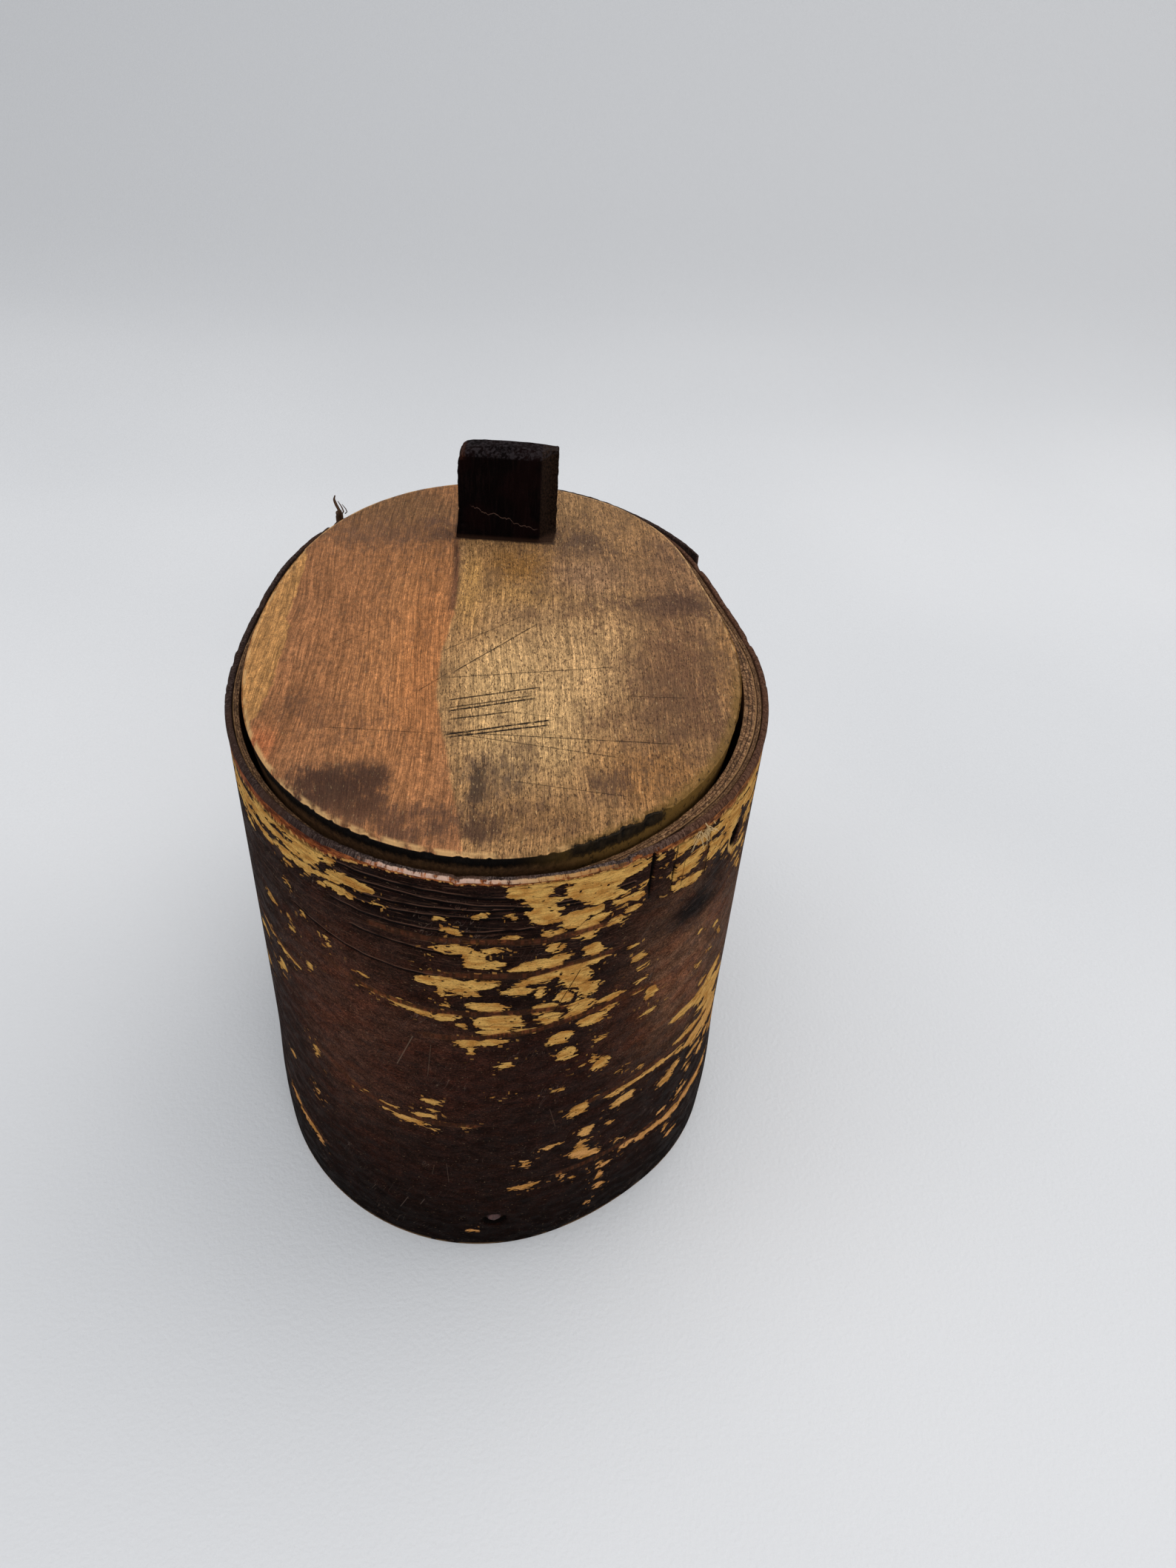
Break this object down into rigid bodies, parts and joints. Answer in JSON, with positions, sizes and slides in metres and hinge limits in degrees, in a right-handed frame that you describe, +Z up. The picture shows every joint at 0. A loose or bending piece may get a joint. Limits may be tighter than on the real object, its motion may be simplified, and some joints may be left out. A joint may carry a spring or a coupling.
{
  "type": "bark storage box",
  "caption": "Oval box of bent birch bark with a pegged wooden bottom, a sewn seam and a plug lid lifted by an upright wooden grip.",
  "frame": {"origin": "centre of the oval foot that the box stands on", "axes": "+Z up, +Y along the long way of the oval towards the sewn seam at the back, +X across it; the front faces -Y"},
  "size_m": [0.1085, 0.134, 0.1468],
  "materials": {
    "outer_bark": "dark, dry bark with flaked yellow patches",
    "lining_bark": "dry brown bark",
    "bottom_wood": "bare, aged",
    "peg_wood": "dark, whittled",
    "root": "split root",
    "lid_wood": "bare, worn and stained",
    "grip_wood": "dark, handled"
  },
  "bodies": {
    "box": {"outer_sleeve": "outer_bark", "inner_lining": "lining_bark", "bottom_board": "bottom_wood", "peg_front": "peg_wood", "peg_front_right": "peg_wood", "peg_back_right": "peg_wood", "peg_back": "peg_wood", "peg_back_left": "peg_wood", "peg_front_left": "peg_wood", "seam_root_right": "root", "seam_root_left": "root"},
    "lid": {"lid_board": "lid_wood", "lid_grip": "grip_wood"}
  },
  "joints": [
    {"name": "lid_lift", "type": "slide", "parent": "box", "child": "lid", "axis": [0, 0, 1], "range_m": [0, 0.06]}
  ]
}
